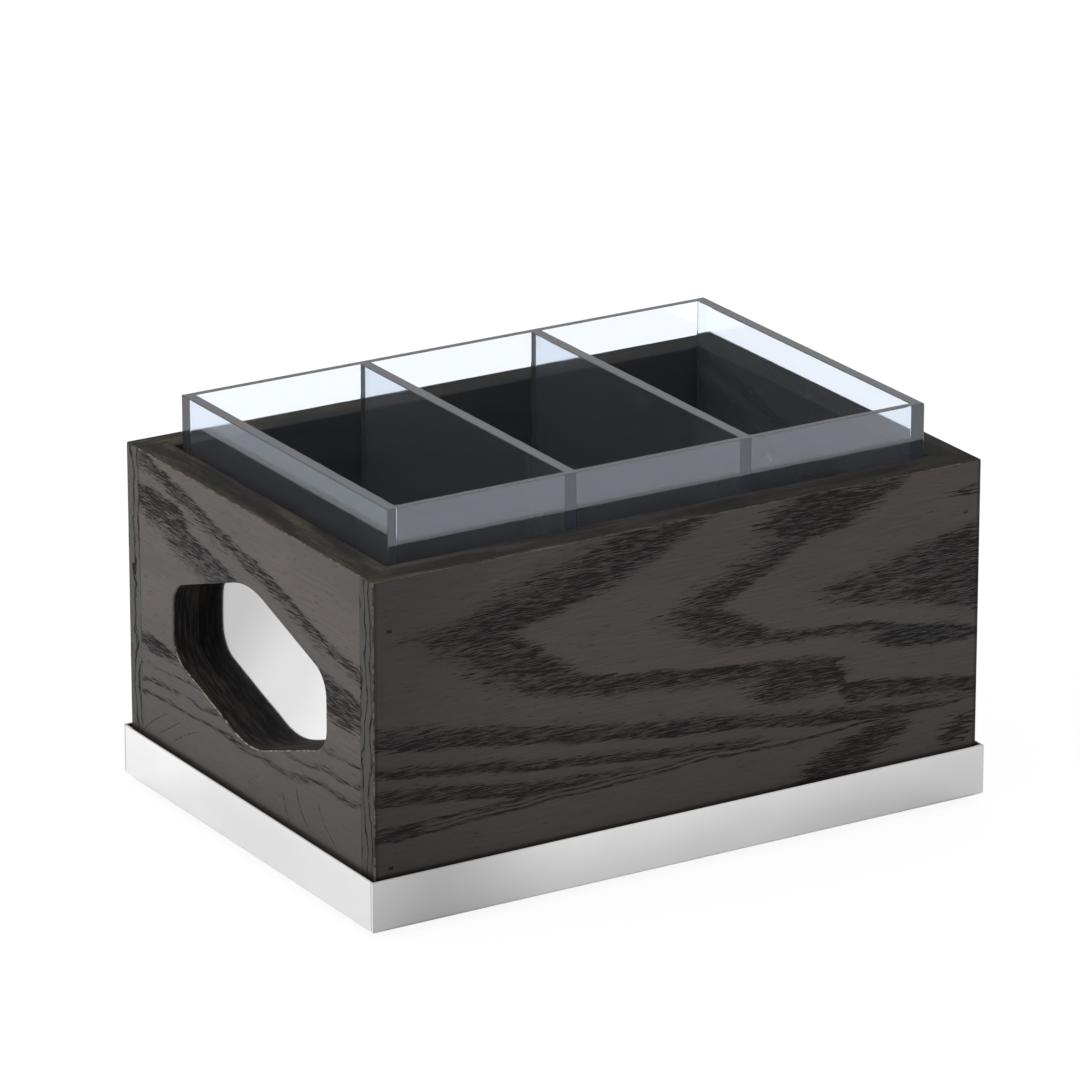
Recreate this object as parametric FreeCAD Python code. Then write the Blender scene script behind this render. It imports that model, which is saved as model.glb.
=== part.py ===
import FreeCAD, Part
import math
import os

# Flatware caddy: a veneered wooden box in a folded steel base pan, with a
# lift-out clear bin of three compartments.  Millimetres, +Z up, +X to the
# right, -Y to the front.  The origin is on the table under the middle of
# the caddy.

Vector = FreeCAD.Vector

# ---- wooden box
BOX_LENGTH = 254.0              # outside, along X
BOX_WIDTH = 178.0               # outside, along Y
WOOD_SHOWING = 110.0            # height of wood between the pan's rim and the box's rim
PANEL_THICKNESS = 13.0          # front, back and end panels
CORNER_RABBET = 4.0             # how far an end panel is let into the front and back panels
BOARD_THICKNESS = 9.0           # bottom board
BOARD_RABBET = 6.0              # how far the bottom board is let into the panels
BOARD_PLAY = 0.2                # gap round the bottom board in its rabbet
WOOD_EASE = 0.6                 # rounding of the rim and of the outside corners

# ---- flat wire brads that pin the corners
BRAD_WIDTH = 1.2                # of the wire, across the grain
BRAD_WIRE = 1.0                 # of the wire, along the grain
BRAD_HEAD_WIDTH = 2.0           # of the head, along the grain
BRAD_HEAD_THICKNESS = 0.8
BRAD_SUNK = 0.2                 # head below the wood's face
BRAD_LENGTH = 25.0
BRAD_LOW = 3.0                  # lower brad above the pan's rim
BRAD_HIGH = 91.0                # upper brad above the pan's rim

# ---- hand hole in each end panel: a long hexagon, points up and down
HOLE_LENGTH = 111.0             # between the two upright sides
HOLE_HEIGHT = 64.0              # between the two points
HOLE_SIDE = 27.0                # length of an upright side before its corners are rounded
HOLE_CORNER_RADIUS = 11.0       # where the upright sides meet the slanted ones
HOLE_CREST_RADIUS = 35.0        # at the top and bottom points
HOLE_CENTRE = 51.0              # above the pan's rim
HOLE_ROUNDING = 0.8             # soft outer edge for the fingers

# ---- steel grip plate that closes the hand hole from inside
PLATE_THICKNESS = 1.2
PLATE_MARGIN = 8.0              # seat beyond the hand hole, all round
PLATE_PLAY = 0.3                # gap round the plate in its seat
PLATE_SCREW_RADIUS = 1.0
PLATE_SCREW_PLAY = 0.15         # screw hole in the plate, beyond the screw
PLATE_SCREW_COVER = 3.8         # wood left between a screw's point and the panel's outer face
PLATE_SCREW_HEAD_RADIUS = 2.5
PLATE_SCREW_HEAD = 0.9          # low wafer head
PLATE_SCREW_SUNK = 0.3          # how far the heads stay below the panel's inner face

# ---- folded base pan
PAN_SHEET = 1.0
PAN_HEIGHT = 19.5
PAN_INNER_BEND = 0.3            # inside radius of the bottom fold
PAN_GAP = 1.2                   # shadow gap between the wood and the pan's upright sides
PAN_SEAM = 0.25                 # open corner seam at each end of the two short sides
PAN_EDGE = 0.3                  # bevel of the upright sides' top edge, at most a third of the sheet

# ---- screws that hold the pan to the bottom board
PAN_SCREW_RADIUS = 1.5
PAN_SCREW_PLAY = 0.3
PAN_SCREW_COVER = 2.5           # wood left between a screw's point and the board's top
PAN_SCREW_HEAD_RADIUS = 3.0
PAN_SCREW_HEAD = 1.5
PAN_SCREW_INSET = 38.0          # from the pan's outside faces to the screw

# ---- rubber feet
FOOT_HEIGHT = 2.5
FOOT_RADIUS = 7.0
FOOT_INSET = 18.0               # from the pan's outside faces to the foot's centre

# ---- clear bin
BIN_GAP = 2.0                   # play between the bin and the box, on each side
BIN_PROUD = 19.5                # how far the bin stands above the box's rim
BIN_FACE_WALL = 3.0             # front and back walls
BIN_END_WALL = 4.5              # end walls and dividers
BIN_FLOOR = 3.0
BIN_EDGE = 0.3                  # polished bevel on the walls' top edges and outer corners
PAD_HEIGHT = 1.5
PAD_RADIUS = 4.0
PAD_INSET = 14.0                # from the bin's outside faces to the pad's centre

SHANK_SIDES = 12                # a screw's shank is drawn as a many-sided core

# ---- levels and half sizes worked out from the above
PAN_BOTTOM = FOOT_HEIGHT
WOOD_BOTTOM = PAN_BOTTOM + PAN_SHEET
PAN_RIM = PAN_BOTTOM + PAN_HEIGHT
WOOD_RIM = PAN_RIM + WOOD_SHOWING
BOARD_TOP = WOOD_BOTTOM + BOARD_THICKNESS
BIN_BOTTOM = BOARD_TOP + PAD_HEIGHT
BIN_FLOOR_TOP = BIN_BOTTOM + BIN_FLOOR
BIN_RIM = WOOD_RIM + BIN_PROUD
HOLE_LEVEL = PAN_RIM + HOLE_CENTRE

PLATE_REBATE = PLATE_THICKNESS + PLATE_SCREW_HEAD + PLATE_SCREW_SUNK
PLATE_SCREW_LENGTH = PLATE_THICKNESS + PANEL_THICKNESS - PLATE_REBATE - PLATE_SCREW_COVER
PAN_SCREW_LENGTH = PAN_SHEET + BOARD_THICKNESS - PAN_SCREW_COVER
PAN_BEND = PAN_INNER_BEND + PAN_SHEET

HALF_LENGTH = BOX_LENGTH / 2
HALF_WIDTH = BOX_WIDTH / 2
INNER_HALF_LENGTH = HALF_LENGTH - PANEL_THICKNESS
INNER_HALF_WIDTH = HALF_WIDTH - PANEL_THICKNESS
END_HALF_WIDTH = INNER_HALF_WIDTH + CORNER_RABBET
PAN_HALF_LENGTH = HALF_LENGTH + PAN_GAP + PAN_SHEET
PAN_HALF_WIDTH = HALF_WIDTH + PAN_GAP + PAN_SHEET
BIN_HALF_LENGTH = INNER_HALF_LENGTH - BIN_GAP
BIN_HALF_WIDTH = INNER_HALF_WIDTH - BIN_GAP
BIN_INNER_HALF_LENGTH = BIN_HALF_LENGTH - BIN_END_WALL
BIN_INNER_HALF_WIDTH = BIN_HALF_WIDTH - BIN_FACE_WALL

LEFT, RIGHT = -1, 1
FRONT, BACK = -1, 1
ENDS = (("left", LEFT), ("right", RIGHT))
FACES = (("front", FRONT), ("back", BACK))
CORNERS = [(end, face) for end in (LEFT, RIGHT) for face in (FRONT, BACK)]

NEAR = 1e-4                     # two coordinates closer than this are the same


# ---------------------------------------------------------------- helpers

def block(x_range, y_range, z_range):
    """A box between pairs of coordinates, given in either order."""
    low = [min(pair) for pair in (x_range, y_range, z_range)]
    size = [abs(pair[1] - pair[0]) for pair in (x_range, y_range, z_range)]
    return Part.makeBox(size[0], size[1], size[2], Vector(*low))


def centred_block(half_length, half_width, bottom, top):
    """A box centred on the Z axis."""
    return block((-half_length, half_length), (-half_width, half_width), (bottom, top))


def same(first, second):
    return abs(first - second) < NEAR


def flat_at(edge, axis, level):
    """True where the whole edge lies in the plane axis = level."""
    box = edge.BoundBox
    low = {"x": box.XMin, "y": box.YMin, "z": box.ZMin}[axis]
    high = {"x": box.XMax, "y": box.YMax, "z": box.ZMax}[axis]
    return same(low, level) and same(high, level)


def rounded_outline(corners, x_level):
    """A closed wire in the plane x = x_level through (y, z, radius) corners, each corner a tangent arc."""
    points = [Vector(x_level, y, z) for y, z, radius in corners]
    arcs = []
    for index, corner in enumerate(points):
        radius = corners[index][2]
        to_last = (points[index - 1] - corner).normalize()
        to_next = (points[(index + 1) % len(points)] - corner).normalize()
        half_angle = to_last.getAngle(to_next) / 2
        start = corner + to_last * (radius / math.tan(half_angle))
        end = corner + to_next * (radius / math.tan(half_angle))
        inward = (to_last + to_next).normalize()
        middle = corner + inward * (radius / math.sin(half_angle) - radius)
        arcs.append((start, middle, end))
    edges = []
    for index, (start, middle, end) in enumerate(arcs):
        edges.append(Part.LineSegment(arcs[index - 1][2], start).toShape())
        edges.append(Part.Arc(start, middle, end).toShape())
    return Part.Wire(edges)


def shank_core(radius, length):
    """A many-sided core on the Z axis from z = 0 up, for a screw's shank and its pilot hole."""
    turns = [2 * math.pi * index / SHANK_SIDES for index in range(SHANK_SIDES + 1)]
    ring = [Vector(radius * math.cos(turn), radius * math.sin(turn), 0) for turn in turns]
    return Part.Face(Part.makePolygon(ring)).extrude(Vector(0, 0, length))


def screw(head_radius, head_height, shank_radius, shank_length):
    """A screw on the Z axis, with its head below z = 0 and its shank above."""
    head = Part.makeCylinder(head_radius, head_height, Vector(0, 0, -head_height))
    return head.fuse(shank_core(shank_radius, shank_length))


def placed(shape, position, axis, angle):
    """A copy turned by angle degrees about an axis through the origin, then moved."""
    copy = shape.copy()
    copy.Placement = FreeCAD.Placement(position, FreeCAD.Rotation(axis, angle))
    return copy


def group(solids):
    return Part.makeCompound(solids)


# ---------------------------------------------------------------- wooden box

def eased_ring():
    """The four walls as one ring, with its rim and its outside corners eased."""
    outside = centred_block(HALF_LENGTH, HALF_WIDTH, WOOD_BOTTOM, WOOD_RIM)
    inside = centred_block(INNER_HALF_LENGTH, INNER_HALF_WIDTH, WOOD_BOTTOM, WOOD_RIM)
    ring = outside.cut(inside)
    eased = []
    for edge in ring.Edges:
        box = edge.BoundBox
        upright = same(box.XLength, 0) and same(box.YLength, 0)
        outer_corner = upright and same(abs(box.XMin), HALF_LENGTH)
        if flat_at(edge, "z", WOOD_RIM) or outer_corner:
            eased.append(edge)
    return ring.makeFillet(WOOD_EASE, eased)


def board_seat():
    """The room that the panels' lower rabbets leave for the bottom board."""
    half_length = INNER_HALF_LENGTH + BOARD_RABBET
    half_width = INNER_HALF_WIDTH + BOARD_RABBET
    return centred_block(half_length, half_width, WOOD_BOTTOM, BOARD_TOP)


def end_region(end):
    """The room that an end panel takes between the front and back panels."""
    x_range = (end * INNER_HALF_LENGTH, end * HALF_LENGTH)
    return block(x_range, (-END_HALF_WIDTH, END_HALF_WIDTH), (WOOD_BOTTOM, WOOD_RIM))


def hand_hole_outline(x_level):
    half_length = HOLE_LENGTH / 2
    half_height = HOLE_HEIGHT / 2
    half_side = HOLE_SIDE / 2
    corners = [
        (half_length, HOLE_LEVEL - half_side, HOLE_CORNER_RADIUS),
        (half_length, HOLE_LEVEL + half_side, HOLE_CORNER_RADIUS),
        (0, HOLE_LEVEL + half_height, HOLE_CREST_RADIUS),
        (-half_length, HOLE_LEVEL + half_side, HOLE_CORNER_RADIUS),
        (-half_length, HOLE_LEVEL - half_side, HOLE_CORNER_RADIUS),
        (0, HOLE_LEVEL - half_height, HOLE_CREST_RADIUS),
    ]
    return rounded_outline(corners, x_level)


def prism(wire, run):
    return Part.Face(wire).extrude(Vector(run, 0, 0))


def grip_screw_points(end):
    """One screw at the middle of each slanted stretch of the plate's margin, on its inner face."""
    inner_level = end * (INNER_HALF_LENGTH + PLATE_REBATE - PLATE_THICKNESS)
    line = hand_hole_outline(inner_level).makeOffset2D(PLATE_MARGIN / 2)
    points = []
    for edge in line.Edges:
        straight = edge.Curve.TypeId == "Part::GeomLine"
        if straight and edge.BoundBox.YLength > NEAR:
            points.append((edge.Vertexes[0].Point + edge.Vertexes[1].Point) * 0.5)
    return points


def grip_screws(end):
    """Wafer-head screws from inside the box through the grip plate into the end panel."""
    model = screw(PLATE_SCREW_HEAD_RADIUS, PLATE_SCREW_HEAD, PLATE_SCREW_RADIUS, PLATE_SCREW_LENGTH)
    return group([placed(model, point, Vector(0, 1, 0), 90 * end) for point in grip_screw_points(end)])


def grip_plate(end):
    """The polished plate behind the hand hole, with clearance holes for its screws."""
    inner_level = end * (INNER_HALF_LENGTH + PLATE_REBATE - PLATE_THICKNESS)
    outline = hand_hole_outline(inner_level).makeOffset2D(PLATE_MARGIN - PLATE_PLAY)
    plate = prism(outline, end * PLATE_THICKNESS)
    for point in grip_screw_points(end):
        hole = Part.makeCylinder(
            PLATE_SCREW_RADIUS + PLATE_SCREW_PLAY, PLATE_THICKNESS, point, Vector(end, 0, 0))
        plate = plate.cut(hole)
    return plate


def end_panel(end, ring, seat, brads):
    """An end panel: hand hole, soft outer edge, and the stepped seat of the grip plate inside."""
    panel = ring.common(end_region(end)).cut(seat)
    hole = prism(hand_hole_outline(end * INNER_HALF_LENGTH), end * PANEL_THICKNESS)
    panel = panel.cut(hole)
    rim = [edge for edge in panel.Edges if on_hole_rim(edge, end)]
    panel = panel.makeFillet(HOLE_ROUNDING, rim)
    seat_outline = hand_hole_outline(end * INNER_HALF_LENGTH).makeOffset2D(PLATE_MARGIN)
    panel = panel.cut(prism(seat_outline, end * PLATE_REBATE))
    return panel.cut(grip_screws(end)).cut(brads)


def on_hole_rim(edge, end):
    """True for the hand hole's edges in the panel's outer face."""
    box = edge.BoundBox
    within_length = box.YMin > -HOLE_LENGTH / 2 - NEAR and box.YMax < HOLE_LENGTH / 2 + NEAR
    above_low_point = box.ZMin > HOLE_LEVEL - HOLE_HEIGHT / 2 - NEAR
    below_high_point = box.ZMax < HOLE_LEVEL + HOLE_HEIGHT / 2 + NEAR
    in_face = flat_at(edge, "x", end * HALF_LENGTH)
    return in_face and within_length and above_low_point and below_high_point


def face_panel(face, ring, seat, brads):
    """The front or back panel, rabbeted at both ends for the end panels."""
    y_range = (face * INNER_HALF_WIDTH, face * HALF_WIDTH)
    slab = block((-HALF_LENGTH, HALF_LENGTH), y_range, (WOOD_BOTTOM, WOOD_RIM))
    panel = ring.common(slab).cut(seat)
    for end in (LEFT, RIGHT):
        panel = panel.cut(end_region(end))
    return panel.cut(brads)


def bottom_board():
    half_length = INNER_HALF_LENGTH + BOARD_RABBET - BOARD_PLAY
    half_width = INNER_HALF_WIDTH + BOARD_RABBET - BOARD_PLAY
    board = centred_block(half_length, half_width, WOOD_BOTTOM, BOARD_TOP)
    return board.cut(pan_screws())


def brad_mouths():
    """Where each brad enters the wood: on the front and back faces, over the end panels' edges."""
    mouths = []
    for end, face in CORNERS:
        for height in (BRAD_LOW, BRAD_HIGH):
            x = end * (HALF_LENGTH - PANEL_THICKNESS / 2)
            mouths.append((Vector(x, face * HALF_WIDTH, PAN_RIM + height), face))
    return mouths


def brad_run(mouth, face, width, start, length):
    """A stretch of brad, or of its hole, from start to start + length inside the wood's face."""
    x_range = (mouth.x - width / 2, mouth.x + width / 2)
    y_range = (mouth.y - face * start, mouth.y - face * (start + length))
    return block(x_range, y_range, (mouth.z - BRAD_WIDTH / 2, mouth.z + BRAD_WIDTH / 2))


def corner_brads():
    """Brads through the front and back panels into the end panels' edges."""
    brads = []
    for mouth, face in brad_mouths():
        wire = brad_run(mouth, face, BRAD_WIRE, BRAD_SUNK, BRAD_LENGTH)
        head = brad_run(mouth, face, BRAD_HEAD_WIDTH, BRAD_SUNK, BRAD_HEAD_THICKNESS)
        brads.append(wire.fuse(head).removeSplitter())
    return group(brads)


def brad_holes():
    """The brads, with the short sunk hole over each head."""
    sunk = [brad_run(mouth, face, BRAD_HEAD_WIDTH, 0, BRAD_SUNK) for mouth, face in brad_mouths()]
    return group(corner_brads().Solids + sunk)


# ---------------------------------------------------------------- base

def pan_corner_points(inset):
    """The four points at one inset from the pan's outside faces, on the pan's underside."""
    x = PAN_HALF_LENGTH - inset
    y = PAN_HALF_WIDTH - inset
    return {(end, face): Vector(end * x, face * y, PAN_BOTTOM) for end, face in CORNERS}


def base_pan():
    """A folded sheet tray: rounded folds, and open corner seams beside the full-length long sides."""
    outside = centred_block(PAN_HALF_LENGTH, PAN_HALF_WIDTH, PAN_BOTTOM, PAN_RIM)
    outside = outside.makeFillet(PAN_BEND, [e for e in outside.Edges if flat_at(e, "z", PAN_BOTTOM)])
    inner_floor = PAN_BOTTOM + PAN_SHEET
    half_length = PAN_HALF_LENGTH - PAN_SHEET
    half_width = PAN_HALF_WIDTH - PAN_SHEET
    inside = centred_block(half_length, half_width, inner_floor, PAN_RIM)
    inside = inside.makeFillet(PAN_INNER_BEND, [e for e in inside.Edges if flat_at(e, "z", inner_floor)])
    pan = outside.cut(inside)
    bevel = min(PAN_EDGE, PAN_SHEET / 3)
    pan = pan.makeChamfer(bevel, [e for e in pan.Edges if flat_at(e, "z", PAN_RIM)])
    for end, face in CORNERS:
        x_range = (end * half_length, end * PAN_HALF_LENGTH)
        y_range = (face * half_width, face * (half_width - PAN_SEAM))
        pan = pan.cut(block(x_range, y_range, (PAN_BOTTOM + PAN_BEND, PAN_RIM)))
    for point in pan_corner_points(PAN_SCREW_INSET).values():
        hole_radius = PAN_SCREW_RADIUS + PAN_SCREW_PLAY
        pan = pan.cut(Part.makeCylinder(hole_radius, PAN_SHEET, point))
    return pan


def pan_screws():
    model = screw(PAN_SCREW_HEAD_RADIUS, PAN_SCREW_HEAD, PAN_SCREW_RADIUS, PAN_SCREW_LENGTH)
    points = pan_corner_points(PAN_SCREW_INSET).values()
    return group([model.translated(point) for point in points])


def foot(point):
    """A low rubber bumper, stuck under the pan."""
    return Part.makeCylinder(FOOT_RADIUS, FOOT_HEIGHT, point - Vector(0, 0, FOOT_HEIGHT))


# ---------------------------------------------------------------- clear bin

def bevelled(wall, test):
    """The wall with the edges that pass the test bevelled."""
    return wall.makeChamfer(BIN_EDGE, [edge for edge in wall.Edges if test(edge.BoundBox)])


def bin_face_wall(face):
    """The front or back wall, over the full length of the bin."""
    y_range = (face * BIN_INNER_HALF_WIDTH, face * BIN_HALF_WIDTH)
    wall = block((-BIN_HALF_LENGTH, BIN_HALF_LENGTH), y_range, (BIN_FLOOR_TOP, BIN_RIM))

    def outer_edge(box):
        along_rim = same(box.ZMin, BIN_RIM) and same(box.YLength, 0)
        upright = same(box.XLength, 0) and same(box.YLength, 0)
        return along_rim or upright and same(abs(box.YMin), BIN_HALF_WIDTH)

    return bevelled(wall, outer_edge)


def bin_cross_wall(x_range):
    """An end wall or a divider, between the front and back walls."""
    wall = block(x_range, (-BIN_INNER_HALF_WIDTH, BIN_INNER_HALF_WIDTH), (BIN_FLOOR_TOP, BIN_RIM))

    def rim_edge(box):
        return same(box.ZMin, BIN_RIM) and same(box.XLength, 0)

    return bevelled(wall, rim_edge)


def divider_range(end):
    """The two dividers part the bin into three compartments of one length."""
    compartment = (2 * BIN_INNER_HALF_LENGTH - 2 * BIN_END_WALL) / 3
    near = compartment / 2
    return (end * near, end * (near + BIN_END_WALL))


def bin_floor():
    return centred_block(BIN_HALF_LENGTH, BIN_HALF_WIDTH, BIN_BOTTOM, BIN_FLOOR_TOP)


def bin_pads():
    """Four small clear bumpers under the bin's floor."""
    pads = []
    for end, face in CORNERS:
        x = end * (BIN_HALF_LENGTH - PAD_INSET)
        y = face * (BIN_HALF_WIDTH - PAD_INSET)
        pads.append(Part.makeCylinder(PAD_RADIUS, PAD_HEIGHT, Vector(x, y, BOARD_TOP)))
    return group(pads)


# ---------------------------------------------------------------- the caddy

def build():
    """Every piece of the caddy, by node name."""
    ring = eased_ring()
    seat = board_seat()
    holes = brad_holes()
    foot_points = pan_corner_points(FOOT_INSET)
    nodes = {
        "bottom_board": bottom_board(),
        "corner_brads": corner_brads(),
        "base_pan": base_pan(),
        "pan_screws": pan_screws(),
        "bin_floor": bin_floor(),
        "bin_pads": bin_pads(),
    }
    for name, face in FACES:
        nodes[name + "_panel"] = face_panel(face, ring, seat, holes)
        nodes["bin_" + name + "_wall"] = bin_face_wall(face)
    for name, end in ENDS:
        nodes[name + "_end_panel"] = end_panel(end, ring, seat, holes)
        nodes[name + "_grip_plate"] = grip_plate(end)
        nodes[name + "_grip_screws"] = grip_screws(end)
        nodes["bin_" + name + "_wall"] = bin_cross_wall((end * BIN_INNER_HALF_LENGTH, end * BIN_HALF_LENGTH))
        nodes["bin_" + name + "_divider"] = bin_cross_wall(divider_range(end))
        for face_name, face in FACES:
            nodes["foot_" + face_name + "_" + name] = foot(foot_points[(end, face)])
    return nodes


os.makedirs("parts", exist_ok=True)
for node, shape in build().items():
    shape.exportStep("parts/" + node + ".step")
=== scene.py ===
# %% [markdown]
# # Dressing a flatware caddy
# The caddy is a stained oak box on a folded steel pan, with a clear bin that
# lifts out. Its solids come from the part's own source, so this lesson starts
# from them and adds what the eye looks for: open oak grain, polished metal,
# clear acrylic with smoky edges, and small fasteners with real heads.

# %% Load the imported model
import math
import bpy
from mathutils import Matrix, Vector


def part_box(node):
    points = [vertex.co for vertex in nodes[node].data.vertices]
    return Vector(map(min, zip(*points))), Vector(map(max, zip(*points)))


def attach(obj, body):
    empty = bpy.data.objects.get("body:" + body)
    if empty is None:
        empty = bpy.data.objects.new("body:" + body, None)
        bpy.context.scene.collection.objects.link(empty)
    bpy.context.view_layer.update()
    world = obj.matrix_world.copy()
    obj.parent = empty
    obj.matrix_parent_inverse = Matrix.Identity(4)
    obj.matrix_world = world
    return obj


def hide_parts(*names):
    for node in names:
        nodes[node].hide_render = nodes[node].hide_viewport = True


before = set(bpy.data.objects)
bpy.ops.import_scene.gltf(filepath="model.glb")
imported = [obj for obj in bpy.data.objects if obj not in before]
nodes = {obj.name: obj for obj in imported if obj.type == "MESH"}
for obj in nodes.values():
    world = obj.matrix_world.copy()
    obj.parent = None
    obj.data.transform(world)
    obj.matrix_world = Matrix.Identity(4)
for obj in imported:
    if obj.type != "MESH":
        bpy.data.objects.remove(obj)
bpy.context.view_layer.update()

from types import SimpleNamespace

import bmesh
import bpy
from mathutils import Matrix, Vector

MM = 0.001

# %% [markdown]
# ## Where the camera stands
# A long lens far away keeps the box's edges nearly parallel, which is how such
# objects are shown in a catalogue. The camera is set from its place, the point
# that it looks at and its lens, so nothing has to be turned by hand.

# %% Camera
CAMERA_PLACE = Vector((-1.331, -2.175, 1.000))
CAMERA_TARGET = Vector((-0.0053, -0.0001, 0.0985))
CAMERA_LENS = 248.07
CAMERA_SENSOR = 36.0

camera_data = bpy.data.cameras.new("studio_camera")
camera_data.lens = CAMERA_LENS
camera_data.sensor_width = CAMERA_SENSOR
camera_data.clip_end = 50
camera = bpy.data.objects.new("studio_camera", camera_data)
camera.location = CAMERA_PLACE
camera.rotation_euler = (CAMERA_TARGET - CAMERA_PLACE).to_track_quat("-Z", "Y").to_euler()
bpy.context.scene.collection.objects.link(camera)
bpy.context.scene.camera = camera
print("camera to object:", round((CAMERA_TARGET - CAMERA_PLACE).length, 3), "m")

# %% [markdown]
# ## Helpers for node formulas
# A material is a formula, and a formula is easier to read as a line of Python
# than as a heap of links. These helpers place one node each and return its
# output, so that they can be nested. A value that is already a socket is
# linked, and a plain number is set on the input.


# %% Helpers for numbers
def feed(tree, socket, value):
    """Links a socket to another, or sets a plain value on it."""
    if isinstance(value, bpy.types.NodeSocket):
        tree.links.new(value, socket)
    else:
        socket.default_value = value


def calc(tree, operation, *values):
    """One Math node."""
    node = tree.nodes.new("ShaderNodeMath")
    node.operation = operation
    for socket, value in zip(node.inputs, values):
        feed(tree, socket, value)
    return node.outputs[0]


def times(tree, *values):
    """The product of several values."""
    product = values[0]
    for value in values[1:]:
        product = calc(tree, "MULTIPLY", product, value)
    return product


def size_of(tree, value):
    """A number without its sign."""
    return calc(tree, "ABSOLUTE", value)


def between(tree, value, low, high, start=0.0, end=1.0, kind="SMOOTHSTEP"):
    """Start below low, end above high, and a smooth step from one to the other."""
    node = tree.nodes.new("ShaderNodeMapRange")
    node.interpolation_type = kind
    for label, number in (("Value", value), ("From Min", low), ("From Max", high),
                          ("To Min", start), ("To Max", end)):
        feed(tree, node.inputs[label], number)
    return node.outputs[0]


def choose(tree, mask, without, within):
    """One number where the mask is 0 and another where it is 1."""
    node = tree.nodes.new("ShaderNodeMix")
    for socket, value in zip((node.inputs[0], node.inputs[2], node.inputs[3]),
                             (mask, without, within)):
        feed(tree, socket, value)
    return node.outputs[0]


print("helpers for numbers ready")

# %% [markdown]
# ## Points and noises
# Wood and metal are stretched materials: their marks are long one way and fine
# the other. Noise is even in all directions, so the point that it reads is
# stretched instead. A small factor draws the marks long in that direction.


# %% Helpers for points and noises
def split(tree, vector):
    """The three parts of a vector."""
    node = tree.nodes.new("ShaderNodeSeparateXYZ")
    feed(tree, node.inputs[0], vector)
    return node.outputs[0], node.outputs[1], node.outputs[2]


def combine(tree, *parts):
    """A vector from its three parts."""
    node = tree.nodes.new("ShaderNodeCombineXYZ")
    for socket, value in zip(node.inputs, parts):
        feed(tree, socket, value)
    return node.outputs[0]


def stretch(tree, *parts):
    """A point for a noise to read, from three pairs of a value and its factor."""
    return combine(tree, *(calc(tree, "MULTIPLY", value, factor) for value, factor in parts))


def noise(tree, vector, scale=1.0, detail=2.0, roughness=0.5):
    """A soft noise from 0 to 1."""
    node = tree.nodes.new("ShaderNodeTexNoise")
    feed(tree, node.inputs["Vector"], vector)
    node.inputs["Scale"].default_value = scale
    node.inputs["Detail"].default_value = detail
    node.inputs["Roughness"].default_value = roughness
    return node.outputs["Fac"]


def swing(tree, vector, detail=2.0, roughness=0.5):
    """A noise that swings both ways round zero."""
    return calc(tree, "SUBTRACT", noise(tree, vector, 1, detail, roughness), 0.5)


print("helpers for points and noises ready")

# %% [markdown]
# ## Colours
# Light adds up in linear values, while a colour is judged on a display, whose
# values are curved. So colours are chosen as display values and turned into
# linear light once, and all blending is done on linear light.


# %% Helpers for colours
def blend_colours(tree, amount, first, second, blend="MIX"):
    """One Mix node for colours."""
    node = tree.nodes.new("ShaderNodeMix")
    node.data_type = "RGBA"
    node.blend_type = blend
    feed(tree, node.inputs["Factor"], amount)
    colour_inputs = [s for s in node.inputs if s.type == "RGBA"]
    feed(tree, colour_inputs[0], first)
    feed(tree, colour_inputs[1], second)
    return [s for s in node.outputs if s.type == "RGBA"][0]


def toned(tree, colour, tone):
    """A colour made darker or lighter by a number or by another colour."""
    return blend_colours(tree, 1.0, colour, tone, "MULTIPLY")


def linear(value):
    """A display value from 0 to 255 as linear light."""
    part = value / 255
    return part / 12.92 if part <= 0.04045 else ((part + 0.055) / 1.055) ** 2.4


def paint(red, green, blue):
    """A colour chosen on a display, from 0 to 255 a channel, as linear light."""
    return (linear(red), linear(green), linear(blue), 1)


WHITE = (1, 1, 1, 1)
print("middle display grey as linear light:", round(linear(128), 3))

# %% [markdown]
# ## Groups
# An effect that several finishes share, such as pores or scratches, is a node
# group that is built once and placed in each material with its own values. Its
# inputs have names and default values. Its outputs are numbers that change
# over the surface, most of them masks from 0 to 1.

# %% Helpers for groups
VALUE_SOCKET, VECTOR_SOCKET = "NodeSocketFloat", "NodeSocketVector"


def new_group(name, inputs, outputs):
    """An empty group of nodes, from its inputs' default values and its outputs' names."""
    group = bpy.data.node_groups.new(name, "ShaderNodeTree")
    for label, default in inputs.items():
        kind = VECTOR_SOCKET if hasattr(default, "__len__") else VALUE_SOCKET
        socket = group.interface.new_socket(label, in_out="INPUT", socket_type=kind)
        socket.default_value = default
    for label in outputs:
        group.interface.new_socket(label, in_out="OUTPUT", socket_type=VALUE_SOCKET)
    entry = group.nodes.new("NodeGroupInput")
    leave = group.nodes.new("NodeGroupOutput")
    return group, entry.outputs, leave.inputs


def place_group(tree, group, **values):
    """A group in a material; an underscore in a value's name stands for a space."""
    node = tree.nodes.new("ShaderNodeGroup")
    node.node_tree = group
    for label, value in values.items():
        feed(tree, node.inputs[label.replace("_", " ")], value)
    return node.outputs


print("helpers for groups ready")

# %% [markdown]
# ## Materials
# Each material has one Principled shader. What is the same all over a surface
# is set on the shader itself, and what changes is fed in. All patterns read
# the object's own coordinates, in millimetres, so a length in a pattern is a
# real length on the caddy.


# %% Helpers for materials
def object_place(tree):
    """Object coordinates in millimetres, and the way that the surface faces."""
    coordinates = tree.nodes.new("ShaderNodeTexCoord")
    scaled = tree.nodes.new("ShaderNodeVectorMath")
    scaled.operation = "SCALE"
    tree.links.new(coordinates.outputs["Object"], scaled.inputs[0])
    scaled.inputs["Scale"].default_value = 1 / MM
    return scaled.outputs[0], coordinates.outputs["Normal"]


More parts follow.
